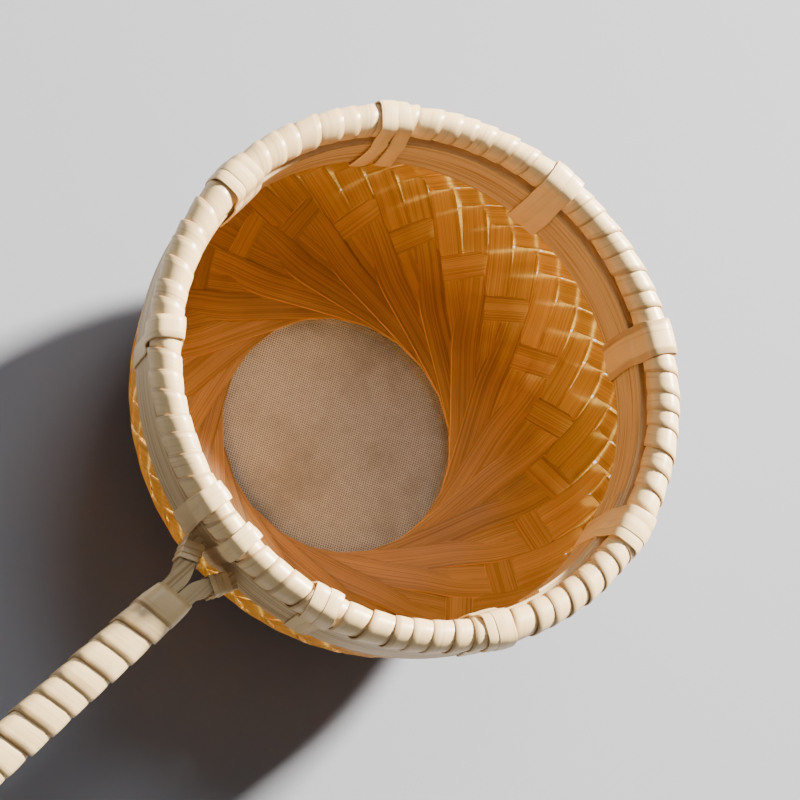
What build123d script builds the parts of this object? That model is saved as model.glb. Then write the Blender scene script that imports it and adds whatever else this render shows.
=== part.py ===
from build123d import *
import os
from math import atan2, cos, degrees, radians, sin, tan

# A hand-woven bamboo tea strainer, in millimetres.  The bowl's axis is Z, the
# foot stands on Z = 0 and the handle runs out along +X.

# ---- driving dimensions -----------------------------------------------------
rim_height = 38.0          # middle of the wrapped rim above the foot
rim_radius = 37.75         # middle of the wrapped rim from the bowl's axis
rim_core_radius = 1.9      # round bamboo core of the rim
rim_wrap_thickness = 0.45  # rattan skin wound round that core

wall_radius = 37.0         # middle of the woven wall
wall_thickness = 0.96      # two layers of crossing strips and their slack
knee_height = 24.0         # the wall is upright above this and rounds in below it
base_radius = 19.0         # the rounding ends here, and the base is flat inside it
base_heights = (2.9, 5.7)  # under and over the stack of strips round the hole
weave_top = 35.3           # cut ends of the strips, under the rim
hole_radius = 18.0         # the round hole that every strip touches

inner_hoop_radii = (35.0, 36.4)
inner_hoop_heights = (27.6, 36.0)
outer_hoop_radii = (37.6, 38.95)
outer_hoop_heights = (28.0, 35.2)
hoop_lap = 0.35            # step where a hoop's two ends lie over one another
lap_arc = 34.0             # degrees of hoop that the lap covers

foot_radii = (18.6, 21.8)
foot_height = 2.3
mesh_radius = 21.6
mesh_thickness = 0.4

tie_thickness = 0.35
tie_flatness = 0.14        # a flat strip stands this far off a curved hoop
tie_bearings = (22, 62, 103, 149, 190, 232, 273, 312)
tie_widths = (4.2, 4.6, 5.6, 5.5, 5.0, 5.2, 5.8, 3.4)
neck_tie_bearings = (-10.5, 0)
neck_tie_width = 3.2

handle_reach = 122.0       # handle tip from the bowl's axis
handle_height = 31.6       # middle of the handle where it leaves the outer hoop
handle_slope = 8.0         # degrees that the handle drops
splint_width = 2.4
splint_depth = 3.6
splint_gap = 0.1           # between the two splints along the grip
neck_start = 46.5          # the grip's wrapping begins here
neck_spread = 4.0          # each splint's offset where it reaches the hoop
splint_root = 39.65        # where the splints butt against the outer hoop
bend_lead = 1.4            # their bend is over before the wrapping begins
neck_bend = 4.0            # radius of the splints' bend at the neck
binding_width = 2.6
binding_thickness = 0.45
grip_start_size = (5.9, 4.4)
grip_end_size = (6.4, 4.9)
grip_corner = 1.4
tip_wrap = 0.55            # the wrapping closed over the handle's tip

edge = 0.4                 # softening of cut bamboo edges
touch = 0.02               # play between pieces that are bound together

os.makedirs("parts", exist_ok=True)


def save(piece, name):
    piece.part.label = name
    export_step(piece.part, f"parts/{name}.step")


# ---- the woven bowl ---------------------------------------------------------
inner_wall = wall_radius - wall_thickness / 2
outer_wall = wall_radius + wall_thickness / 2

with BuildPart() as woven_bowl:
    with BuildSketch(Plane.XZ):
        with BuildLine():
            inside_knee = EllipticalCenterArc(
                (base_radius, knee_height),
                inner_wall - base_radius,
                knee_height - base_heights[1],
                start_angle=270,
                arc_size=90,
            )
            outside_knee = EllipticalCenterArc(
                (base_radius, knee_height),
                outer_wall - base_radius,
                knee_height - base_heights[0],
                start_angle=270,
                arc_size=90,
            )
            Polyline(
                inside_knee @ 1,
                (inner_wall, weave_top),
                (outer_wall, weave_top),
                outside_knee @ 1,
            )
            Polyline(
                outside_knee @ 0,
                (hole_radius, base_heights[0]),
                (hole_radius, base_heights[1]),
                inside_knee @ 0,
            )
        make_face()
    revolve(axis=Axis.Z)
save(woven_bowl, "woven_bowl")

# ---- the rim ----------------------------------------------------------------
roll_radius = rim_core_radius + rim_wrap_thickness

with BuildPart() as rim_core:
    with BuildSketch(Plane.XZ):
        with Locations((rim_radius, rim_height)):
            Circle(rim_core_radius)
    revolve(axis=Axis.Z)
save(rim_core, "rim_core")

with BuildPart() as rim_wrap:
    with BuildSketch(Plane.XZ):
        with Locations((rim_radius, rim_height)):
            Circle(roll_radius)
            Circle(rim_core_radius, mode=Mode.SUBTRACT)
    revolve(axis=Axis.Z)
save(rim_wrap, "rim_wrap")

# ---- the two hoops that pinch the weave, each with its ends lapped ----------
hoops = (
    ("inner_hoop", inner_hoop_radii, inner_hoop_heights, inner_hoop_radii[0] - hoop_lap / 2, 78),
    ("outer_hoop", outer_hoop_radii, outer_hoop_heights, outer_hoop_radii[1] + hoop_lap / 2, 160),
)
for name, radii, heights, lap_radius, lap_bearing in hoops:
    tall = heights[1] - heights[0]
    middle_height = (heights[0] + heights[1]) / 2
    with BuildPart() as hoop:
        with BuildSketch(Plane.XZ):
            with Locations(((radii[0] + radii[1]) / 2, middle_height)):
                RectangleRounded(radii[1] - radii[0], tall, edge)
        revolve(axis=Axis.Z)
        with BuildSketch(Plane.XZ.rotated((0, 0, lap_bearing))):
            with Locations((lap_radius, middle_height)):
                Rectangle(hoop_lap + touch, tall - 2 * edge)
        revolve(axis=Axis.Z, revolution_arc=lap_arc)
    save(hoop, name)

# ---- ties round the rim and both hoops --------------------------------------
tie_gap = tie_thickness / 2 + touch
tie_inside = inner_hoop_radii[0] - hoop_lap - tie_gap - tie_flatness
tie_outside = outer_hoop_radii[1] + hoop_lap + tie_gap
tie_roll = roll_radius + tie_gap + tie_flatness
tie_route = (
    (inner_wall - tie_gap, inner_hoop_heights[0] - tie_gap),
    (tie_inside, inner_hoop_heights[0] - tie_gap),
    (tie_inside, inner_hoop_heights[1]),
    (rim_radius - tie_roll, rim_height - 0.6),
    (rim_radius - tie_roll, rim_height + tie_roll),
    (rim_radius + tie_roll, rim_height + tie_roll),
    (rim_radius + tie_roll, rim_height - 1.2),
    (tie_outside, outer_hoop_heights[1]),
    (tie_outside, outer_hoop_heights[0] - tie_gap),
    (outer_wall + tie_gap, outer_hoop_heights[0] - tie_gap),
)
tie_bends = (0.3, 0.3, 0.3, 2.4, 2.4, 0.3, 0.3, 0.3)

names = [f"rim_tie_{number}" for number in range(1, len(tie_bearings) + 1)]
names += ["neck_tie_left", "neck_tie_right"]
bearings = tie_bearings + neck_tie_bearings
widths = tie_widths + (neck_tie_width,) * len(neck_tie_bearings)

for name, bearing, width in zip(names, bearings, widths):
    outward = Vector(cos(radians(bearing)), sin(radians(bearing)), 0)
    sideways = Vector(outward.Y, -outward.X, 0)
    with BuildPart() as tie:
        with BuildLine(Plane(origin=(0, 0, 0), x_dir=outward, z_dir=sideways)) as route:
            FilletPolyline(*tie_route, radius=tie_bends)
        start = Plane(origin=route.line @ 0, x_dir=sideways, z_dir=route.line % 0)
        with BuildSketch(start):
            Rectangle(width, tie_thickness)
        sweep(path=route.line)
    save(tie, name)

# ---- the handle -------------------------------------------------------------
slope = radians(handle_slope)
along_handle = Vector(cos(slope), 0, -sin(slope))
above_handle = Vector(sin(slope), 0, cos(slope))
handle_plane = Plane(origin=(splint_root, 0, handle_height), x_dir=along_handle, z_dir=above_handle)
grip_start = neck_start - splint_root
grip_end = (handle_reach - splint_root) / cos(slope)
splint_offset = (splint_width + splint_gap) / 2

for side, side_name in ((-1, "left"), (1, "right")):
    with BuildPart() as splint:
        with BuildLine(handle_plane) as course:
            FilletPolyline(
                (0.0, side * neck_spread),
                (grip_start - bend_lead, side * splint_offset),
                (grip_end - tip_wrap - touch, side * splint_offset),
                radius=neck_bend,
            )
        start = Plane(origin=course.line @ 0, x_dir=above_handle, z_dir=course.line % 0)
        with BuildSketch(start):
            Rectangle(splint_depth, splint_width)
        sweep(path=course.line)
    save(splint, f"handle_splint_{side_name}")

neck_angle = degrees(atan2(splint_offset - neck_spread, grip_start - bend_lead))
binding_place = 2.2
binding_offset = neck_spread + binding_place * tan(radians(neck_angle))

for side, side_name in ((-1, "left"), (1, "right")):
    place = (binding_place, side * binding_offset)
    with BuildPart() as neck_binding:
        with BuildSketch(handle_plane.offset(-splint_depth / 2 - binding_thickness)):
            with Locations(place):
                Rectangle(
                    binding_width,
                    splint_width + 2 * binding_thickness,
                    rotation=side * neck_angle,
                )
        extrude(amount=splint_depth + 2 * binding_thickness)
        with BuildSketch(handle_plane.offset(-splint_depth / 2 - touch)):
            with Locations(place):
                Rectangle(
                    2 * binding_width,
                    splint_width + 2 * touch,
                    rotation=side * neck_angle,
                )
        extrude(amount=splint_depth + 2 * touch, mode=Mode.SUBTRACT)
    save(neck_binding, f"neck_binding_{side_name}")

across_grip = Plane(
    origin=handle_plane.from_local_coords((grip_start, 0, 0)),
    x_dir=(0, 1, 0),
    z_dir=along_handle,
)
with BuildPart() as handle_wrap:
    with BuildSketch(across_grip):
        RectangleRounded(*grip_start_size, grip_corner)
    with BuildSketch(across_grip.offset(grip_end - grip_start)):
        RectangleRounded(*grip_end_size, grip_corner)
    loft()
    with BuildSketch(across_grip):
        Rectangle(2 * (splint_width + touch) + splint_gap, splint_depth + 2 * touch)
    extrude(amount=grip_end - grip_start - tip_wrap, mode=Mode.SUBTRACT)
save(handle_wrap, "handle_wrap")

# ---- the filter and the foot ------------------------------------------------
with BuildPart() as filter_mesh:
    with BuildSketch(Plane.XY.offset(foot_height + touch)):
        Circle(mesh_radius)
    extrude(amount=mesh_thickness)
save(filter_mesh, "filter_mesh")

with BuildPart() as foot_ring:
    with BuildSketch(Plane.XZ):
        with Locations(((foot_radii[0] + foot_radii[1]) / 2, foot_height / 2)):
            Rectangle(foot_radii[1] - foot_radii[0], foot_height)
    revolve(axis=Axis.Z)
save(foot_ring, "foot_ring")
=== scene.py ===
from math import asin, atan2, cos, degrees, hypot, pi, radians, sin, sqrt

import bmesh
import bpy
import numpy as np
from bpy.props import FloatProperty, FloatVectorProperty, IntProperty, PointerProperty
from mathutils import Matrix, Vector


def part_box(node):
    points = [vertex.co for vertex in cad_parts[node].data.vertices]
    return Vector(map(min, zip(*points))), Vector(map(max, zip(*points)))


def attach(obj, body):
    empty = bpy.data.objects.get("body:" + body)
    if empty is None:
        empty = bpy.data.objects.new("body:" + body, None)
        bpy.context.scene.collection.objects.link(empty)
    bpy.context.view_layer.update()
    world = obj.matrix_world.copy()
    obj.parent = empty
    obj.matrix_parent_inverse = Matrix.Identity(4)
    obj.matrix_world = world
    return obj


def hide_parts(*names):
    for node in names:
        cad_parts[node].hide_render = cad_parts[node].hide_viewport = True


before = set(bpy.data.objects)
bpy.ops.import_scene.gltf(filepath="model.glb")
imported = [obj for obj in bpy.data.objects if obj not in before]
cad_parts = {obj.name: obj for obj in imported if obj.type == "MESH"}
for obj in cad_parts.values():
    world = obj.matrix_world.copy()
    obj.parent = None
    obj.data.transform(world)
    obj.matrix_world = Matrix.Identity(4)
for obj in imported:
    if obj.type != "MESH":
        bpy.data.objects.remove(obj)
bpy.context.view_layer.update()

bl_info = {
    "name": "Bamboo Tea Strainer",
    "version": (1, 0, 0),
    "blender": (4, 5, 0),
    "location": "3D View > Sidebar > Strainer",
    "description": "Weaves, winds and ties the looks of a bamboo tea strainer over its frame",
    "category": "Add Mesh",
}

# Shapes are worked out in millimetres and turn into metres when a mesh is made.
MM = 0.001


def box_mm(node):
    """Lowest and highest corner of a node of the frame, in millimetres."""
    low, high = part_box(node)
    return np.array(low) / MM, np.array(high) / MM


bowl_low, bowl_high = box_mm("woven_bowl")
wrap_low, wrap_high = box_mm("rim_wrap")
core_low, core_high = box_mm("rim_core")
inner_low, inner_high = box_mm("inner_hoop")
outer_low, outer_high = box_mm("outer_hoop")
gauze_low, gauze_high = box_mm("filter_mesh")
_, grip_high = box_mm("handle_wrap")

# The bowl's section: flat round the hole, then a rounded knee, then an upright wall.
WALL_THICKNESS = 0.96
WALL_RADIUS = bowl_high[0] - WALL_THICKNESS / 2
WEAVE_TOP = bowl_high[2]
KNEE_HEIGHT = 24.0
BASE_RADIUS = 19.0
BASE_THICKNESS = 2.8
BASE_HEIGHT = bowl_low[2] + BASE_THICKNESS / 2
KNEE_RUN = WALL_RADIUS - BASE_RADIUS
KNEE_RISE = KNEE_HEIGHT - BASE_HEIGHT

ROLL_RADIUS = (wrap_high[2] - wrap_low[2]) / 2
CORE_RADIUS = (core_high[2] - core_low[2]) / 2
RIM_RADIUS = wrap_high[0] - ROLL_RADIUS
RIM_HEIGHT = (wrap_high[2] + wrap_low[2]) / 2
HOOP_THICKNESS = 1.4
HOOP_LAP = 0.35

# The handle: two splints that part at the neck, in a plane that drops away from
# the bowl.  Distances along it start at its root.
HANDLE_SLOPE = radians(8)
HANDLE_ROOT = np.array((39.65, 0.0, 31.6))
ALONG_HANDLE = np.array((cos(HANDLE_SLOPE), 0.0, -sin(HANDLE_SLOPE)))
ABOVE_HANDLE = np.array((sin(HANDLE_SLOPE), 0.0, cos(HANDLE_SLOPE)))
SIDEWAYS = np.array((0.0, 1.0, 0.0))
UP = np.array((0.0, 0.0, 1.0))
SPLINT_WIDTH = 2.4
SPLINT_DEPTH = 3.6
SPLINT_GAP = 0.1
SPLINT_OFFSET = (SPLINT_WIDTH + SPLINT_GAP) / 2
NECK_SPREAD = 4.0
GRIP_START = 6.85
NECK_END = GRIP_START - 1.4
GRIP_END = (grip_high[0] - HANDLE_ROOT[0]) / cos(HANDLE_SLOPE)
GRIP_WIDTH = 5.9
GRIP_DEPTH = 4.4
GRIP_CORNER = 1.4
TIP_DEPTH = 4.9


# ---- settings ---------------------------------------------------------------


def length(name, description, millimetres):
    """A length setting, given in millimetres and kept in metres."""
    return FloatProperty(
        name=name,
        description=description,
        default=millimetres * MM,
        min=0.0,
        unit="LENGTH",
        precision=5,
    )


def colour(name, description, shade):
    """A colour setting."""
    return FloatVectorProperty(
        name=name, description=description, default=shade, min=0, max=1, subtype="COLOR"
    )


class StrainerWeaveSettings(bpy.types.PropertyGroup):
    """Sizes and colours of the woven bowl"""

    pairs: IntProperty(
        name="Pairs", description="Pairs of strips that touch the hole", default=22, min=6
    )
    strip_width: length("Strip width", "Width of one weaving strip", 4.05)
    strip_thickness: length("Strip thickness", "Thickness of one weaving strip", 0.32)
    hole_radius: length("Hole radius", "Radius of the hole that every strip touches", 18)
    lift: length("Lift", "How far a strip rides in or out at a crossing", 0.33)
    turned: FloatProperty(
        name="Turned",
        description="Bearing of the first pair",
        default=radians(5.4),
        subtype="ANGLE",
    )
    strip_colour: colour("Strip colour", "Face of the weaving strips", (0.58, 0.30, 0.08))
    fibre_colour: colour("Fibre colour", "Dark fibres along the strips", (0.25, 0.095, 0.018))
    glow_colour: colour("Glow colour", "Light that comes through a strip", (1.0, 0.84, 0.38))


class StrainerHoopSettings(bpy.types.PropertyGroup):
    """Colours of the split bamboo parts"""

    split_colour: colour("Split face", "Pale face of split bamboo", (0.68, 0.49, 0.25))
    vein_colour: colour("Veins", "Darker lines along split bamboo", (0.42, 0.24, 0.09))


class StrainerBindingSettings(bpy.types.PropertyGroup):
    """Sizes and colours of the rattan windings and ties"""

    rim_turns: IntProperty(
        name="Rim turns", description="Turns of skin round the rim", default=76, min=12
    )
    grip_turns: IntProperty(
        name="Grip turns", description="Turns of skin round the grip", default=19, min=4
    )
    skin_thickness: length("Skin thickness", "Thickness of the rattan skin", 0.26)
    skin_colour: colour("Skin colour", "Polished outside of the rattan", (0.88, 0.62, 0.30))
    stain_colour: colour("Stain colour", "Darker lines and edges", (0.46, 0.27, 0.11))


class StrainerGauzeSettings(bpy.types.PropertyGroup):
    """Sizes and colour of the steel gauze"""

    pitch: length("Pitch", "Distance from wire to wire", 0.36)
    wire: length("Wire", "Thickness of one wire", 0.15)
    steel_colour: colour("Steel colour", "Colour of the wires", (0.74, 0.73, 0.69))


class StrainerStageSettings(bpy.types.PropertyGroup):
    """The floor and the lights"""

    floor_colour: colour("Floor colour", "Plain matt floor", (0.27, 0.28, 0.315))
    key_power: FloatProperty(
        name="Key light",
        description="Light from beyond the bowl",
        default=540,
        min=0,
        unit="POWER",
    )
    fill_power: FloatProperty(
        name="Fill light",
        description="Wide light from high up",
        default=14,
        min=0,
        unit="POWER",
    )


# ---- shapes -----------------------------------------------------------------


def unit(vectors):
    """The same directions at a length of 1."""
    return vectors / np.linalg.norm(vectors, axis=-1, keepdims=True)


def radial(bearings):
    """Level directions at these bearings, in radians."""
    bearings = np.asarray(bearings, float)
    return np.stack((np.cos(bearings), np.sin(bearings), 0 * bearings), -1)


def distance_along(points):
    """How far along a line of points each point lies."""
    steps = np.linalg.norm(np.diff(points, axis=0), axis=1)
    return np.concatenate(([0.0], np.cumsum(steps)))


def read_off(places, reach, table):
    """Each column of a table that is known at these reaches, read at other places."""
    return np.stack([np.interp(places, reach, column) for column in table.T], -1)


# A strip's cross-section: across in half widths, up in thicknesses.
STRIP_PROFILE = np.array(
    [
        (-1.0, 0.0),
        (-0.94, 0.5),
        (-0.5, 0.5),
        (0.0, 0.5),
        (0.5, 0.5),
        (0.94, 0.5),
        (1.0, 0.0),
        (0.94, -0.5),
        (0.0, -0.5),
        (-0.94, -0.5),
    ]
)

# The layout of each strip in a piece is moved across by one more shelf, so that a
# finish can tell the strips apart.
SHELF = 10.0

# Faces that meet at more than this show a crisp edge.
CRISP_ANGLE = radians(50)


class Shape:
    """Points and faces of one piece, with each point's layout along and across its strip."""

    def __init__(self):
        self.points = []
        self.layout = []
        self.faces = []
        self.count = 0

    def tube(self, points, layout):
        """Rows of points, each row a closed ring, with both ends capped."""
        rows, ring = points.shape[:2]
        index = self.count + np.arange(rows * ring).reshape(rows, ring)
        onward = np.roll(index, -1, axis=1)
        sides = np.stack((index[:-1], onward[:-1], onward[1:], index[1:]), -1)
        self.faces += sides.reshape(-1, 4).tolist()
        self.faces += [index[0, ::-1].tolist(), index[-1].tolist()]
        self.points.append(points.reshape(-1, 3))
        self.layout.append(layout.reshape(-1, 2))
        self.count += rows * ring

    def strip(self, centres, acrosses, normals, widths, thickness, crown=0.0, number=0):
        """A strip laid along centres, raised by its crown in the middle."""
        side, level = STRIP_PROFILE.T
        halves = np.broadcast_to(widths, len(centres))[:, None] / 2
        over = side * halves
        rise = np.broadcast_to(level * thickness + crown * (1 - side**2), over.shape)
        points = (
            centres[:, None]
            + acrosses[:, None] * over[..., None]
            + normals[:, None] * rise[..., None]
        )
        along = np.broadcast_to(distance_along(centres)[:, None], over.shape)
        self.tube(points, np.stack((along, over + SHELF * number), -1))

    def make(self, name, material, slot, *nodes):
        """Turn the shape into a piece that rides on the strainer in place of these nodes."""
        mesh = bpy.data.meshes.new(name)
        mesh.from_pydata(np.concatenate(self.points) * MM, [], self.faces)
        working = bmesh.new()
        working.from_mesh(mesh)
        bmesh.ops.recalc_face_normals(working, faces=working.faces)
        working.to_mesh(mesh)
        working.free()
        corners = np.zeros(len(mesh.loops), int)
        mesh.loops.foreach_get("vertex_index", corners)
        flat = mesh.uv_layers.new(name="strip_layout")
        flat.data.foreach_set("uv", np.concatenate(self.layout)[corners].ravel())
        mesh.polygons.foreach_set("use_smooth", [True] * len(mesh.polygons))
        mesh.set_sharp_from_angle(angle=CRISP_ANGLE)
        mesh.materials.append(material)
        piece = bpy.data.objects.new(name, mesh)
        bpy.context.scene.collection.objects.link(piece)
        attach(piece, "root")
        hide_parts(*nodes)


def wind(shape, hearts, sides, ups, outline, width, thickness, climb, crown):
    """Wind one long strip round a core.

    Hearts run along the middle of the core, sides and ups span its section, and
    outline gives the strip's place and facing on that section.  Each turn climbs
    over the edge of the turn before it.
    """
    places, facings = outline
    normals = sides * facings[:, :1] + ups * facings[:, 1:]
    centres = hearts + sides * places[:, :1] + ups * places[:, 1:]
    travel = np.gradient(centres, axis=0)
    acrosses = unit(np.cross(normals, travel))
    normals = unit(np.cross(travel, acrosses))
    tilt = asin(climb / np.mean(width))
    shape.strip(
        centres,
        acrosses * cos(tilt) + normals * sin(tilt),
        normals * cos(tilt) - acrosses * sin(tilt),
        width,
        thickness,
        crown,
    )


def round_outline(radius, share):
    """Places on a circle at these shares of the way round it, with their facings."""
    facings = np.stack((np.cos(2 * pi * share), np.sin(2 * pi * share)), -1)
    return facings * radius, facings


def square_outline(width, depth, corner, share):
    """Places on a rounded oblong at these shares of the way round it, with their facings."""
    arc = np.linspace(0, pi / 2, 7)
    centres = [(1, 1), (-1, 1), (-1, -1), (1, -1)]
    points, facings = [], []
    for quarter, (x, y) in enumerate(centres):
        angle = arc + quarter * pi / 2
        facing = np.stack((np.cos(angle), np.sin(angle)), -1)
        middle = np.array((x * (width / 2 - corner), y * (depth / 2 - corner)))
        points.append(middle + facing * corner)
        facings.append(facing)
    points = np.concatenate(points + [points[0][:1]])
    facings = np.concatenate(facings + [facings[0][:1]])
    reach = distance_along(points)
    place = (share % 1) * reach[-1]
    return read_off(place, reach, points), unit(read_off(place, reach, facings))


def wander(rng, count, amount, every):
    """Slow random drift over count samples, with a new aim every so many samples."""
    knots = max(2, count // every + 1)
    aims = rng.uniform(-amount, amount, knots)
    aims[-1] = aims[0]
    return np.interp(np.linspace(0, knots - 1, count), np.arange(knots), aims)


def rounded_route(points, passes=3, spacing=0.4):
    """Cut a route's corners round, then lay points along it at an even spacing."""
    route = np.array(points, float)
    for _ in range(passes):
        near = route[:-1] * 0.75 + route[1:] * 0.25
        far = route[:-1] * 0.25 + route[1:] * 0.75
        middle = np.stack((near, far), 1).reshape(-1, route.shape[1])
        route = np.concatenate((route[:1], middle, route[-1:]))
    reach = distance_along(route)
    place = np.linspace(0, reach[-1], int(reach[-1] / spacing) + 2)
    return read_off(place, reach, route)


# ---- materials --------------------------------------------------------------


class Value:
    """A shader socket that takes part in sums with other sockets and plain numbers."""

    def __init__(self, finish, socket):
        self.finish = finish
        self.socket = socket

    def maths(self, operation, *others):
        """A Math node on this value and the others."""
        sockets = dict(enumerate((self, *others)))
        return self.finish.add("ShaderNodeMath", {"operation": operation}, sockets)

    def __add__(self, other):
        return self.maths("ADD", other)

    def __sub__(self, other):
        return self.maths("SUBTRACT", other)

    def __rsub__(self, other):
        return (self * -1) + other

    def __mul__(self, other):
        return self.maths("MULTIPLY", other)

    def __truediv__(self, other):
        return self.maths("DIVIDE", other)

    def __pow__(self, other):
        return self.maths("POWER", other)

    def __abs__(self):
        return self.maths("ABSOLUTE")

    def __floordiv__(self, other):
        return (self / other).maths("FLOOR")

    __radd__ = __add__
    __rmul__ = __mul__


# Places of a Mix node's sockets when it mixes colours.
MIX_FACTOR, MIX_FIRST, MIX_SECOND, MIX_COLOUR = 0, 6, 7, 2


class Finish:
    """A material being mixed from shader nodes."""

    def __init__(self, name):
        self.material = bpy.data.materials.new(name)
        self.material.use_nodes = True
        self.tree = self.material.node_tree
        self.tree.nodes.clear()

    def add(self, kind, settings=None, sockets=None, output=0):
        """Add one node: its settings first, then the values and links of its sockets."""
        node = self.tree.nodes.new(kind)
        for key, value in (settings or {}).items():
            setattr(node, key, value)
        for key, value in (sockets or {}).items():
            if isinstance(value, Value):
                self.tree.links.new(value.socket, node.inputs[key])
            elif isinstance(value, (int, float)):
                node.inputs[key].default_value = value
            else:
                room = len(node.inputs[key].default_value)
                node.inputs[key].default_value = (*value, 1.0)[:room]
        return Value(self, node.outputs[output]) if node.outputs else None

    def split(self, vector):
        """The X, Y and Z of a vector."""
        parts = self.add("ShaderNodeSeparateXYZ", None, {"Vector": vector})
        return [Value(self, part) for part in parts.socket.node.outputs]

    def layout(self):
        """Millimetres along and across a strip, its number, and how far its middle is."""
        place = self.add("ShaderNodeUVMap", {"uv_map": "strip_layout"})
        along, across, _ = self.split(place)
        number = (across + SHELF / 2) // SHELF
        within = abs((across + SHELF / 2) - number * SHELF - SHELF / 2)
        return along, across, number, within

    def places(self):
        """Millimetres along X, Y and Z of the strainer."""
        place = self.add("ShaderNodeTexCoord", None, None, "Object")
        return [part * (1 / MM) for part in self.split(place)]

    def noise(self, x, y, z=0.0, detail=2.0, roughness=0.5):
        """Cloudy values from 0 to 1."""
        vector = self.add("ShaderNodeCombineXYZ", None, {"X": x, "Y": y, "Z": z})
        sockets = {"Vector": vector, "Scale": 1.0, "Detail": detail, "Roughness": roughness}
        return self.add("ShaderNodeTexNoise", None, sockets, "Fac")

    def chance(self, number):
        """A random value from 0 to 1 for each whole number."""
        settings = {"noise_dimensions": "1D"}
        return self.add("ShaderNodeTexWhiteNoise", settings, {"W": number}, "Value")

    def mask(self, value, start, end):
        """0 below start and 1 above end, smooth between them."""
        sockets = {"Value": value, "From Min": start, "From Max": end}
        return self.add("ShaderNodeMapRange", {"interpolation_type": "SMOOTHSTEP"}, sockets)

    def blend(self, factor, first, second):
        """The first colour where the factor is 0, and the second where it is 1."""
        sockets = {MIX_FACTOR: factor, MIX_FIRST: first, MIX_SECOND: second}
        return self.add("ShaderNodeMix", {"data_type": "RGBA"}, sockets, MIX_COLOUR)

    def brighten(self, shade, amount):
        """Multiply a colour by a value."""
        settings = {"operation": "SCALE"}
        return self.add("ShaderNodeVectorMath", settings, {0: shade, "Scale": amount})

    def bump(self, height, distance, strength):
        """Raise the surface by a height from 0 to 1, times a distance in millimetres."""
        sockets = {"Height": height, "Distance": distance * MM, "Strength": strength}
        return self.add("ShaderNodeBump", None, sockets)

    def close(self, surface):
        """Put the surface on the material and hand the material over."""
        self.add("ShaderNodeOutputMaterial", None, {"Surface": surface})
        return self.material


def strip_finish(settings):
    """Thin bamboo strips, with fibres along them, a tone each, and light coming through."""
    finish = Finish("weaving_bamboo")
    along, across, number, within = finish.layout()
    tone = finish.chance(number // 2) * 0.75 + finish.chance(number) * 0.25
    fine = finish.noise(along * 0.02, across * 6.0, number * 7.3, 1, 0.5)
    broad = finish.noise(along * 0.02, across * 1.1, number * 3.1, 2)
    cloud = finish.noise(along * 0.16, across * 0.25, number * 1.7, 2)
    fibres = finish.mask(fine, 0.42, 0.64) * 0.62 + finish.mask(broad, 0.5, 0.72) * 0.16
    # Painted light at a strip's edges: a painted highlight along each edge, with a band of
    # painted shade just inside it.
    painted_edge_highlight = finish.mask(within, 1.86, 1.95)
    painted_edge_shade = finish.mask(within, 1.5, 1.85)
    edges = painted_edge_highlight * 0.85 - painted_edge_shade * 0.34
    shade = finish.blend(fibres, settings.strip_colour, settings.fibre_colour)
    shade = finish.brighten(shade, tone * 0.4 + cloud * 0.4 + edges + 0.68)
    sockets = {
        "Base Color": shade,
        "Roughness": fine * 0.2 + 0.3,
        "Specular IOR Level": 0.22,
        "Normal": finish.bump(fine * -0.7 - broad * 0.3, 0.07, 0.9),
    }
    face = finish.add("ShaderNodeBsdfPrincipled", None, sockets)
    glow = finish.add("ShaderNodeBsdfTranslucent", None, {"Color": settings.glow_colour})
    share = 0.44 - fibres * 0.2
    return finish.close(finish.add("ShaderNodeMixShader", None, {0: share, 1: face, 2: glow}))


def skin_finish(settings):
    """Rattan skin: pale and polished, with fine veins and a darker line at its edges."""
    finish = Finish("wound_rattan")
    along, across, _, within = finish.layout()
    fine = finish.noise(along * 0.06, across * 5.0, 0.0, 3, 0.6)
    vein = finish.noise(along * 0.05, across * 1.6, 4.0, 2)
    cloud = finish.noise(along * 0.11, across * 0.2, 9.0, 2)
    specks = finish.noise(along * 1.3, across * 2.2, 2.0, 1)
    edge = finish.mask(within, 1.5, 1.95)
    stain = finish.mask(vein, 0.52, 0.74) * 0.5 + finish.mask(specks, 0.7, 0.8) * 0.25
    stain = stain + edge * 0.6 + finish.mask(cloud, 0.58, 0.75) * 0.22
    shade = finish.blend(stain, settings.skin_colour, settings.stain_colour)
    shade = finish.brighten(shade, cloud * 0.35 + fine * 0.2 + 0.72)
    sockets = {
        "Base Color": shade,
        "Roughness": fine * 0.25 + 0.24,
        "Specular IOR Level": 0.5,
        "Normal": finish.bump(fine * 0.6 + vein * 0.4, 0.05, 0.7),
    }
    return finish.close(finish.add("ShaderNodeBsdfPrincipled", None, sockets))


def split_finish(name, settings, straight):
    """Split bamboo with veins that run round a hoop, or straight along the handle."""
    finish = Finish(name)
    x, y, z = finish.places()
    if straight:
        z = z + x * (sin(HANDLE_SLOPE) / cos(HANDLE_SLOPE))
        first, second, third = x * 0.05, y * 2.6, z * 2.6
        broader = 0.4
    else:
        reach = (x * x + y * y) ** 0.5
        first, second, third = x * 0.035, y * 0.035, z * 2.4 + reach * 1.9
        broader = 1.7
    veins = finish.noise(first, second, third, 4, 0.62)
    broad = finish.noise(first * 1.7, second * broader, third * 0.3, 2)
    lines = finish.mask(veins, 0.46, 0.62) * 0.8 + finish.mask(broad, 0.5, 0.7) * 0.35
    shade = finish.blend(lines, settings.split_colour, settings.vein_colour)
    shade = finish.brighten(shade, broad * 0.3 + 0.9)
    sockets = {
        "Base Color": shade,
        "Roughness": veins * 0.25 + 0.35,
        "Specular IOR Level": 0.4,
        "Normal": finish.bump(veins, 0.07, 0.8),
    }
    return finish.close(finish.add("ShaderNodeBsdfPrincipled", None, sockets))


TEA_STAIN = (0.30, 0.27, 0.22)


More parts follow.
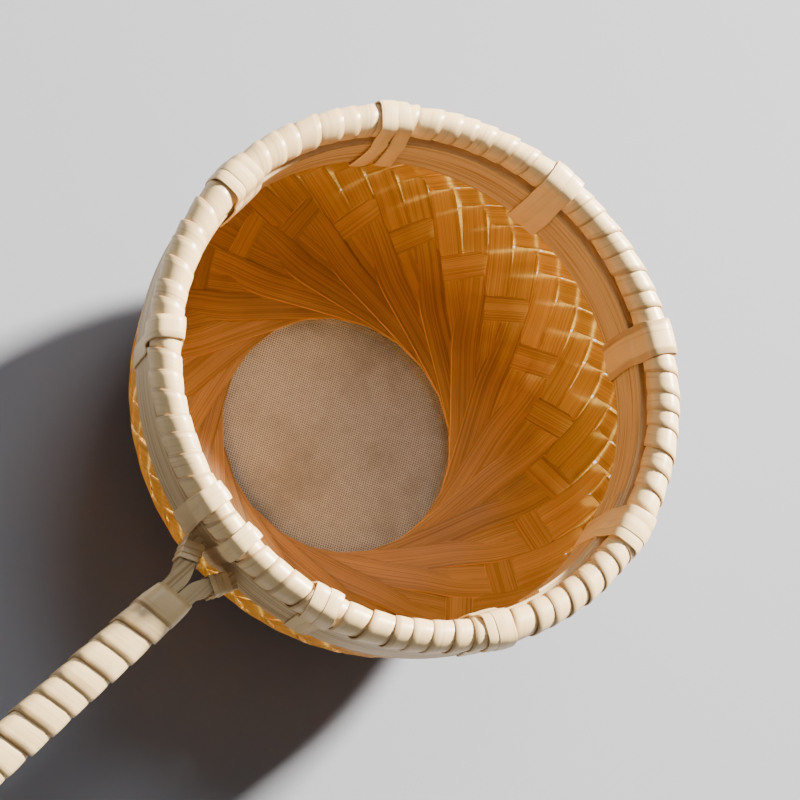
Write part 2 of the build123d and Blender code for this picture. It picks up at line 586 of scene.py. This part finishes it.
def steel_finish(settings):
    """Drawn steel wire, a little dulled in places by tea."""
    finish = Finish("steel_wire")
    x, y, z = finish.places()
    dull = finish.noise(x * 0.12, y * 0.12, z, 3, 0.6)
    streak = finish.noise(x * 0.9, y * 0.9, 3.0, 2)
    stain = finish.mask(dull, 0.4, 0.75) * 0.5
    shade = finish.blend(stain, settings.steel_colour, TEA_STAIN)
    sockets = {
        "Base Color": finish.brighten(shade, streak * 0.4 + 0.8),
        "Metallic": 0.6,
        "Roughness": dull * 0.25 + 0.22,
    }
    return finish.close(finish.add("ShaderNodeBsdfPrincipled", None, sockets))


def floor_finish(settings):
    """A matt floor, almost even."""
    finish = Finish("matt_floor")
    x, y, _ = finish.places()
    grain = finish.noise(x * 0.02, y * 0.02, 0.0, 2)
    sockets = {
        "Base Color": finish.brighten(settings.floor_colour, grain * 0.04 + 0.98),
        "Roughness": 0.6,
        "Specular IOR Level": 0.25,
    }
    return finish.close(finish.add("ShaderNodeBsdfPrincipled", None, sockets))


# ---- the weave --------------------------------------------------------------


def section_direction(radius, height):
    """Outward and upward parts of the bowl's section at a point on it."""
    if height >= KNEE_HEIGHT:
        return 0.0, 1.0
    if radius <= BASE_RADIUS:
        return 1.0, 0.0
    out = (KNEE_HEIGHT - height) / KNEE_RISE**2
    up = (radius - BASE_RADIUS) / KNEE_RUN**2
    size = hypot(out, up)
    return out / size, up / size


# Steps along a strip in millimetres, and how many of them lie between the points kept.
COURSE_STEP = 0.1
COURSE_THINNING = 9


def strip_course(hole_radius, width):
    """Follow a taut strip from where it touches the hole up to its cut end.

    Each row holds the turn round the bowl in degrees, the radius, the height, the
    lean from straight up the section, and the section's outward and upward parts.
    """
    step = COURSE_STEP
    radius = hole_radius + width / 2
    lean = pi / 2
    inside = (radius - BASE_RADIUS) / KNEE_RUN
    height = KNEE_HEIGHT - KNEE_RISE * sqrt(1 - inside**2)
    turn = 0.0
    course = []
    while height < WEAVE_TOP:
        out, up = section_direction(radius, height)
        course.append((turn, radius, height, lean, out, up))
        middle_lean = lean - out * sin(lean) / radius * step / 2
        radius += cos(middle_lean) * out * step
        height += cos(middle_lean) * up * step
        turn += degrees(sin(middle_lean) / radius * step)
        lean -= out * sin(middle_lean) / radius * step
    return np.array(course[::COURSE_THINNING] + course[-1:])


# Lift of a strip's inner and outer edge over the base, against the bearing from
# its own touching point: each strip climbs over the ones before it.
BASE_TURNS = (0, 12, 24, 36, 42, 48)
INNER_LIFTS = (0, 0.45, 0.85, 1.15, 0.90, 0.5)
OUTER_LIFTS = (0, 0.35, 0.62, 0.78, 0.66, 0.4)

# The two strips of a pair start close together, one a little over the other, and
# draw apart between these turns until all strips are evenly spaced.
PAIR_STEP = 0.17
PAIR_SPREAD = 1.7
PARTING_TURNS = (36, 54)

# The ends of a strip wander sideways by up to this many degrees.
STRIP_DRIFT = 0.35
DRIFT_TURN = 60

# Rows of crossings, counted from the hole, where a strip lies on the inside, for
# each way round the bowl and member of a pair.  It stays level for a part of each
# row, on both sides of the row's middle.
FIRST_ROW, LAST_ROW = 13, 20
LEVEL_SHARE = 0.26
INSIDE_ROWS = {
    (1, 0): (13, 15, 16, 19, 20),
    (1, 1): (14, 15, 16, 19, 20),
    (-1, 0): (13, 14, 17, 18),
    (-1, 1): (17, 18),
}


def soften(values):
    """Round off the corners of a row of values."""
    return np.convolve(np.pad(values, 1, "edge"), (0.25, 0.5, 0.25), "valid")


def strip_half(course, settings, bearing, member, hand, rng):
    """Centres, across directions and normals of half a strip, from the hole outward."""
    width = settings.strip_width / MM
    row_turn = 90 / settings.pairs
    turn, radius, height, lean, out, up = course.T
    turns = list(BASE_TURNS)
    inner = [hand * lift for lift in INNER_LIFTS]
    outer = [hand * lift for lift in OUTER_LIFTS]
    for row in range(FIRST_ROW, LAST_ROW + 1):
        lift = settings.lift / MM * (1 if row in INSIDE_ROWS[hand, member] else -1)
        turns += [(row - LEVEL_SHARE) * row_turn, (row + LEVEL_SHARE) * row_turn]
        inner += [lift, lift]
        outer += [lift, lift]
    inner = soften(np.interp(turn, turns, inner))
    outer = soften(np.interp(turn, turns, outer))
    start, end = PARTING_TURNS
    share = np.clip((turn - start) / (end - start), 0, 1)
    share = share**2 * (3 - 2 * share)
    side = -1 if member == 0 else 1
    spread = PAIR_SPREAD + (row_turn - PAIR_SPREAD) * share
    drift = rng.uniform(-STRIP_DRIFT, STRIP_DRIFT) * np.clip(turn / DRIFT_TURN, 0, 1)
    bearings = np.radians(bearing + side * spread + hand * turn + drift)
    outward = radial(bearings)
    around = radial(bearings + pi / 2) * hand
    climb = outward * out[:, None] + UP * up[:, None]
    inward = UP * out[:, None] - outward * up[:, None]
    across = climb * np.sin(lean)[:, None] - around * np.cos(lean)[:, None]
    roll = np.arcsin((outer - inner) / width)[:, None]
    lift = (inner + outer) / 2 - side * PAIR_STEP * (1 - share)
    centres = outward * radius[:, None] + UP * height[:, None] + inward * lift[:, None]
    acrosses = across * np.cos(roll) + inward * np.sin(roll)
    normals = inward * np.cos(roll) - across * np.sin(roll)
    return centres, acrosses, normals


class STRAINER_OT_weave(bpy.types.Operator):
    """Weave the bowl from strips that touch the hole and cross on the wall"""

    bl_idname = "strainer.weave"
    bl_label = "Weave the bowl"

    def execute(self, context):
        settings = context.scene.strainer_weave
        rng = np.random.default_rng(7)
        width = settings.strip_width / MM
        thickness = settings.strip_thickness / MM
        course = strip_course(settings.hole_radius / MM, width)
        shape = Shape()
        for pair in range(settings.pairs):
            bearing = degrees(settings.turned) + pair * 360 / settings.pairs
            for member in (0, 1):
                falling = strip_half(course, settings, bearing, member, -1, rng)
                rising = strip_half(course, settings, bearing, member, 1, rng)
                whole = [np.concatenate((f[:0:-1], r)) for f, r in zip(falling, rising)]
                widths = width * (1 + wander(rng, len(whole[0]), 0.03, 12))
                shape.strip(*whole, widths, thickness, crown=0.03, number=2 * pair + member)
        shape.make("woven_strips", strip_finish(settings), "woven_bamboo", "woven_bowl")
        return {"FINISHED"}


# ---- hoops, core, splints and foot ------------------------------------------


class STRAINER_OT_hoops(bpy.types.Operator):
    """Give the hoops, the rim's core, the splints and the foot their split bamboo"""

    bl_idname = "strainer.hoops"
    bl_label = "Finish the split bamboo"

    def execute(self, context):
        settings = context.scene.strainer_hoops
        hoop = split_finish("split_hoops", settings, straight=False)
        splint = split_finish("split_splints", settings, straight=True)
        finishes = {
            "inner_hoop": hoop,
            "outer_hoop": hoop,
            "rim_core": hoop,
            "foot_ring": hoop,
            "handle_splint_left": splint,
            "handle_splint_right": splint,
        }
        for node, material in finishes.items():
            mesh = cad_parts[node].data
            mesh.materials.clear()
            mesh.materials.append(material)
        return {"FINISHED"}


# ---- windings and ties ------------------------------------------------------


def skin_material(context):
    """The rattan finish that all windings and ties share."""
    found = bpy.data.materials.get("wound_rattan")
    return found or skin_finish(context.scene.strainer_binding)


class STRAINER_OT_rim(bpy.types.Operator):
    """Wind rattan skin round the rim, each turn climbing over the one before"""

    bl_idname = "strainer.rim"
    bl_label = "Wind the rim"

    def execute(self, context):
        settings = context.scene.strainer_binding
        rng = np.random.default_rng(11)
        turns, steps = settings.rim_turns, 26
        thickness = settings.skin_thickness / MM
        pitch = 2 * pi * RIM_RADIUS / turns
        number = np.arange(turns * steps + 1) / steps
        drift = wander(rng, len(number), 0.26, steps)
        bearings = 2 * pi * (number + drift) / turns
        outward = radial(bearings)
        hearts = outward * RIM_RADIUS + UP * RIM_HEIGHT
        puff = wander(rng, len(number), 0.06, steps // 2)
        radius = (CORE_RADIUS + ROLL_RADIUS) / 2 - 0.09 + puff[:, None]
        widths = pitch * 1.32 + wander(rng, len(number), 0.25, steps)
        shape = Shape()
        wind(
            shape,
            hearts,
            outward,
            np.broadcast_to(UP, outward.shape),
            round_outline(radius, number - 0.25),
            widths,
            thickness,
            climb=thickness * 1.6,
            crown=0.14,
        )
        shape.make("rim_winding", skin_material(context), "rattan_skin", "rim_wrap")
        return {"FINISHED"}


# From a tie's middle to what it lies on, outside and inside the bowl.
TIE_ROOM = 0.16
TIE_ROOM_INSIDE = 0.22


def tie_route():
    """Middle line of a tie, in reach and height, from the inner hoop's foot to the outer's."""
    inside = inner_high[0] - HOOP_THICKNESS - HOOP_LAP - TIE_ROOM_INSIDE
    outside = outer_high[0] + TIE_ROOM
    roll = ROLL_RADIUS + TIE_ROOM
    return (
        (WALL_RADIUS - 0.75, inner_low[2] - 0.2),
        (inside + 0.2, inner_low[2] - 0.25),
        (inside, inner_low[2] + 0.6),
        (inside, inner_high[2] - 0.5),
        (RIM_RADIUS - roll - 0.1, RIM_HEIGHT - 0.9),
        (RIM_RADIUS - roll, RIM_HEIGHT + 0.6),
        (RIM_RADIUS - roll * 0.8, RIM_HEIGHT + roll * 0.9),
        (RIM_RADIUS, RIM_HEIGHT + roll),
        (RIM_RADIUS + roll * 0.8, RIM_HEIGHT + roll * 0.9),
        (RIM_RADIUS + roll, RIM_HEIGHT),
        (RIM_RADIUS + roll - 0.1, RIM_HEIGHT - 1.4),
        (outside, outer_high[2] - 0.3),
        (outside, outer_low[2] + 0.6),
        (outside - 0.2, outer_low[2] - 0.25),
        (WALL_RADIUS + 0.75, outer_low[2] - 0.2),
    )


# Strands of each tie: bearing from the tie's middle, width, lean from the inside
# to the outside in degrees, and lift over the strands before it.
TIES = {
    "rim_tie_1": (22, [(-1.2, 2.4, 1.5, 0.0), (1.6, 2.2, -1.0, 0.12)]),
    "rim_tie_2": (62, [(-1.9, 2.2, 0.5, 0.0), (1.2, 2.9, 1.5, 0.14)]),
    "rim_tie_3": (103, [(-2.8, 2.0, -1.2, 0.0), (0.2, 2.4, 0.8, 0.14), (2.9, 1.9, 2.0, 0.05)]),
    "rim_tie_4": (149, [(0.0, 5.4, 1.0, 0.0)]),
    "rim_tie_5": (190, [(-2.0, 2.5, 1.0, 0.0), (1.7, 2.8, 0.0, 0.12)]),
    "rim_tie_6": (232, [(-1.9, 2.6, 3.6, 0.0), (1.7, 2.5, -2.6, 0.16)]),
    "rim_tie_7": (273, [(-3.1, 1.9, 3.0, 0.0), (-0.4, 2.2, 2.2, 0.12), (2.6, 2.1, 3.4, 0.04)]),
    "rim_tie_8": (312, [(0.0, 3.3, 3.6, 0.0)]),
    "neck_tie_left": (-10.5, [(-0.9, 2.0, 1.2, 0.0), (1.2, 1.9, 2.4, 0.14)]),
    "neck_tie_right": (0, [(-0.6, 1.7, -1.5, 0.0), (1.4, 1.9, -3.0, 0.14)]),
}


class STRAINER_OT_ties(bpy.types.Operator):
    """Tie the rim down to both hoops with strands of rattan skin"""

    bl_idname = "strainer.ties"
    bl_label = "Tie the rim"

    def execute(self, context):
        settings = context.scene.strainer_binding
        rng = np.random.default_rng(23)
        thickness = settings.skin_thickness / MM
        route = rounded_route(tie_route())
        share = np.linspace(0, 1, len(route))
        tangent = unit(np.gradient(route, axis=0))
        away = np.stack((-tangent[:, 1], tangent[:, 0]), -1)
        for name, (bearing, strands) in TIES.items():
            shape = Shape()
            for number, (offset, width, lean, lift) in enumerate(strands):
                bearings = np.radians(bearing + offset + lean * (share - 0.5))
                bearings += np.radians(wander(rng, len(route), 0.35, 16))
                outward = radial(bearings)
                normals = outward * away[:, :1] + UP * away[:, 1:]
                lifts = lift * np.sin(pi * share) ** 0.5
                centres = outward * route[:, :1] + UP * route[:, 1:] + normals * lifts[:, None]
                acrosses = unit(np.cross(normals, np.gradient(centres, axis=0)))
                widths = width * (1 + wander(rng, len(route), 0.07, 10))
                shape.strip(
                    centres, acrosses, normals, widths, thickness, crown=0.09, number=number
                )
            shape.make(f"{name}_strands", skin_material(context), "rattan_skin", name)
        return {"FINISHED"}


class STRAINER_OT_neck(bpy.types.Operator):
    """Bind each splint where it meets the outer hoop"""

    bl_idname = "strainer.neck"
    bl_label = "Bind the neck"

    def execute(self, context):
        turns, steps = 3, 28
        start, pitch = 1.15, 0.75
        room = 0.34
        number = np.arange(turns * steps + 1) / steps
        travel = start + number * pitch
        neck_angle = atan2(SPLINT_OFFSET - NECK_SPREAD, NECK_END)
        outline = square_outline(SPLINT_WIDTH + room, SPLINT_DEPTH + room, 0.3, number)
        for side, word in ((-1, "left"), (1, "right")):
            place = NECK_SPREAD + travel * sin(neck_angle) / cos(neck_angle)
            hearts = (
                HANDLE_ROOT
                + ALONG_HANDLE * travel[:, None]
                + SIDEWAYS * (side * place)[:, None]
            )
            sideways = unit(SIDEWAYS * cos(neck_angle) - side * ALONG_HANDLE * sin(neck_angle))
            shape = Shape()
            wind(
                shape,
                hearts,
                np.broadcast_to(sideways, hearts.shape),
                np.broadcast_to(ABOVE_HANDLE, hearts.shape),
                outline,
                width=1.0,
                thickness=0.2,
                climb=0.24,
                crown=0.05,
            )
            skin = skin_material(context)
            shape.make(f"neck_winding_{word}", skin, "rattan_skin", f"neck_binding_{word}")
        return {"FINISHED"}


class STRAINER_OT_grip(bpy.types.Operator):
    """Wind rattan skin along the grip and fold it over the tip"""

    bl_idname = "strainer.grip"
    bl_label = "Wind the grip"

    def execute(self, context):
        settings = context.scene.strainer_binding
        rng = np.random.default_rng(31)
        turns, steps = settings.grip_turns, 36
        thickness = settings.skin_thickness / MM
        number = np.arange(turns * steps + 1) / steps
        grip = GRIP_END - GRIP_START
        lead, tail = 1.9, 3.0
        pitch = (grip - (lead + tail)) / turns
        drift = wander(rng, len(number), 0.12, steps)
        travel = GRIP_START + lead + (number + drift) * pitch
        swell = (travel - GRIP_START) / grip
        places, facings = square_outline(GRIP_WIDTH, GRIP_DEPTH, GRIP_CORNER, number)
        puff = wander(rng, len(number), 0.05, steps // 2)
        lower = (0.16 - 0.25 * swell + puff)[:, None]
        hearts = HANDLE_ROOT + ALONG_HANDLE * travel[:, None]
        widths = pitch * 1.16 + wander(rng, len(number), 0.2, steps)
        shape = Shape()
        wind(
            shape,
            hearts,
            np.broadcast_to(SIDEWAYS, hearts.shape),
            np.broadcast_to(ABOVE_HANDLE, hearts.shape),
            (places - facings * lower, facings),
            widths,
            thickness,
            climb=thickness * 1.35,
            crown=0.16,
        )
        half = TIP_DEPTH / 2 - 0.4
        fold = rounded_route(
            (
                (GRIP_END - 9, half),
                (GRIP_END - 1.5, half + 0.1),
                (GRIP_END - 0.8, half - 0.5),
                (GRIP_END - 0.6, 0),
                (GRIP_END - 0.8, -half + 0.5),
                (GRIP_END - 1.5, -half - 0.1),
                (GRIP_END - 9, -half),
            )
        )
        tangent = unit(np.gradient(fold, axis=0))
        normals = ABOVE_HANDLE * tangent[:, :1] - ALONG_HANDLE * tangent[:, 1:]
        middle = HANDLE_ROOT + ALONG_HANDLE * fold[:, :1] + ABOVE_HANDLE * fold[:, 1:]
        for place, width, lift in ((-1.5, 3.0, 0.0), (1.5, 3.0, 0.04), (0.0, 2.6, 0.16)):
            centres = middle + SIDEWAYS * place + normals * lift
            acrosses = np.broadcast_to(SIDEWAYS, centres.shape)
            shape.strip(centres, acrosses, normals, width, thickness, crown=0.1, number=1)
        shape.make("grip_winding", skin_material(context), "rattan_skin", "handle_wrap")
        return {"FINISHED"}


# ---- the gauze --------------------------------------------------------------

GAUZE_BEARING = radians(31)


class STRAINER_OT_gauze(bpy.types.Operator):
    """Weave the steel gauze that closes the hole, wire by wire"""

    bl_idname = "strainer.gauze"
    bl_label = "Weave the gauze"

    def execute(self, context):
        settings = context.scene.strainer_gauze
        pitch = settings.pitch / MM
        radius = settings.wire / MM / 2
        reach = gauze_high[0] - 0.1
        middle = (gauze_low[2] + gauze_high[2]) / 2
        first = radial(GAUZE_BEARING)
        second = radial(GAUZE_BEARING + pi / 2)
        ring = np.array([(1, 0), (0, 1), (-1, 0), (0, -1)]) * radius
        count = int(reach / pitch)
        shape = Shape()
        for along, across, phase in ((first, second, 0), (second, first, 1)):
            for row in range(-count, count + 1):
                half = sqrt(max(reach**2 - (row * pitch) ** 2, 0.0))
                marks = np.arange(-int(half / pitch), int(half / pitch) + 1)
                if len(marks) < 3:
                    continue
                wave = np.where((marks + row + phase) % 2 == 0, 1.0, -1.0) * radius * 0.95
                centres = (
                    along * (marks * pitch)[:, None]
                    + across * (row * pitch)
                    + UP * (middle + wave)[:, None]
                )
                points = centres[:, None] + across * ring[None, :, :1] + UP * ring[None, :, 1:]
                layout = np.zeros((*points.shape[:2], 2))
                layout[..., 0] = (marks * pitch)[:, None]
                shape.tube(points, layout)
        shape.make("steel_gauze", steel_finish(settings), "steel_gauze", "filter_mesh")
        return {"FINISHED"}


# ---- the stage --------------------------------------------------------------

# Distances on the stage are in metres, directions are in the strainer's axes.
FLOOR_REACH = 3.0
FLOOR_DROP = 0.05 * MM
LIGHT_AIM = Vector((0, 0, 0.02))

KEY_BEARING = radians(172)
KEY_HEIGHT = radians(29)
KEY_DISTANCE = 2.5
KEY_SIZE = 0.3
KEY_COLOUR = (1, 0.95, 0.87)

FILL_PLACE = Vector((-0.9, -0.6, 1.9))
FILL_SIZE = 0.75
FILL_COLOUR = (0.93, 0.96, 1)

SKY_COLOUR = (0.80, 0.84, 0.90, 1)
SKY_STRENGTH = 0.17

# The camera looks down into the bowl, rolled so that the handle comes out at the
# lower left.  Both directions are turned about the bowl's axis.
CAMERA_TURN = radians(-6)
CAMERA_RIGHT = Vector((-0.7249, 0.5849, 0.3639))
CAMERA_FORWARD = Vector((-0.4486, 0, -0.8937))
CAMERA_AIM = Vector((0, 0, 0.038))
CAMERA_DISTANCE = 0.5
CAMERA_LEFT = 0.0029
CAMERA_DOWN = 0.0037
CAMERA_LENS = 159.7
CAMERA_SENSOR = 36


def area_light(name, power, size, place, shade):
    """Hang a square light that faces the bowl."""
    light = bpy.data.lights.new(name, "AREA")
    light.energy = power
    light.size = size
    light.color = shade
    lamp = bpy.data.objects.new(name, light)
    lamp.location = place
    lamp.rotation_euler = (LIGHT_AIM - place).to_track_quat("-Z", "Y").to_euler()
    bpy.context.scene.collection.objects.link(lamp)


def sky(strength, shade):
    """A world of one even colour."""
    world = bpy.data.worlds.new("studio")
    world.use_nodes = True
    background = world.node_tree.nodes["Background"]
    background.inputs["Color"].default_value = shade
    background.inputs["Strength"].default_value = strength
    bpy.context.scene.world = world


def set_camera():
    """Stand the camera so that it looks into the bowl."""
    axes = Matrix.Rotation(CAMERA_TURN, 3, "Z")
    forward = (axes @ CAMERA_FORWARD).normalized()
    right = (axes @ CAMERA_RIGHT).normalized()
    right = (right - forward * right.dot(forward)).normalized()
    down = forward.cross(right)
    camera = bpy.data.cameras.new("camera")
    camera.lens = CAMERA_LENS
    camera.sensor_width = CAMERA_SENSOR
    camera.clip_start = 0.01
    eye = bpy.data.objects.new("camera", camera)
    place = CAMERA_AIM - right * CAMERA_LEFT + down * CAMERA_DOWN - forward * CAMERA_DISTANCE
    facing = Matrix((right, -down, -forward)).transposed().to_4x4()
    eye.matrix_world = Matrix.Translation(place) @ facing
    bpy.context.scene.collection.objects.link(eye)
    bpy.context.scene.camera = eye


class STRAINER_OT_stage(bpy.types.Operator):
    """Lay the floor, hang the lights and set the camera"""

    bl_idname = "strainer.stage"
    bl_label = "Set the stage"

    def execute(self, context):
        settings = context.scene.strainer_stage
        floor = bpy.data.meshes.new("floor")
        shape = bmesh.new()
        bmesh.ops.create_grid(shape, x_segments=8, y_segments=8, size=FLOOR_REACH)
        shape.to_mesh(floor)
        shape.free()
        floor.materials.append(floor_finish(settings))
        ground = bpy.data.objects.new("floor", floor)
        ground.location.z = -FLOOR_DROP
        context.scene.collection.objects.link(ground)

        toward = Vector((cos(KEY_BEARING), sin(KEY_BEARING), 0)) * cos(KEY_HEIGHT)
        toward.z = sin(KEY_HEIGHT)
        key_place = LIGHT_AIM + toward * KEY_DISTANCE
        area_light("key_light", settings.key_power, KEY_SIZE, key_place, KEY_COLOUR)
        area_light("fill_light", settings.fill_power, FILL_SIZE, FILL_PLACE, FILL_COLOUR)
        sky(SKY_STRENGTH, SKY_COLOUR)
        set_camera()
        return {"FINISHED"}


# ---- sidebar ----------------------------------------------------------------


class STRAINER_PT_panel(bpy.types.Panel):
    """Settings and buttons of the tea strainer"""

    bl_idname = "STRAINER_PT_panel"
    bl_label = "Tea strainer"
    bl_space_type = "VIEW_3D"
    bl_region_type = "UI"
    bl_category = "Strainer"

    def draw(self, context):
        for group, operators in PANEL_ROWS:
            box = self.layout.box()
            settings = getattr(context.scene, group)
            for key in settings.bl_rna.properties.keys():
                if key not in ("rna_type", "name"):
                    box.prop(settings, key)
            for operator in operators:
                box.operator(operator.bl_idname)


GROUPS = {
    "strainer_weave": StrainerWeaveSettings,
    "strainer_hoops": StrainerHoopSettings,
    "strainer_binding": StrainerBindingSettings,
    "strainer_gauze": StrainerGauzeSettings,
    "strainer_stage": StrainerStageSettings,
}
PANEL_ROWS = (
    ("strainer_weave", (STRAINER_OT_weave,)),
    ("strainer_hoops", (STRAINER_OT_hoops,)),
    (
        "strainer_binding",
        (STRAINER_OT_rim, STRAINER_OT_ties, STRAINER_OT_neck, STRAINER_OT_grip),
    ),
    ("strainer_gauze", (STRAINER_OT_gauze,)),
    ("strainer_stage", (STRAINER_OT_stage,)),
)
OPERATORS = [operator for _, operators in PANEL_ROWS for operator in operators]


def register():
    for name, group in GROUPS.items():
        bpy.utils.register_class(group)
        setattr(bpy.types.Scene, name, PointerProperty(type=group))
    for operator in OPERATORS:
        bpy.utils.register_class(operator)
    bpy.utils.register_class(STRAINER_PT_panel)


def unregister():
    bpy.utils.unregister_class(STRAINER_PT_panel)
    for operator in reversed(OPERATORS):
        bpy.utils.unregister_class(operator)
    for name, group in reversed(GROUPS.items()):
        delattr(bpy.types.Scene, name)
        bpy.utils.unregister_class(group)


def main():
    register()
    bpy.ops.strainer.weave()
    bpy.ops.strainer.hoops()
    bpy.ops.strainer.rim()
    bpy.ops.strainer.ties()
    bpy.ops.strainer.neck()
    bpy.ops.strainer.grip()
    bpy.ops.strainer.gauze()
    bpy.ops.strainer.stage()


if __name__ == "__main__":
    main()
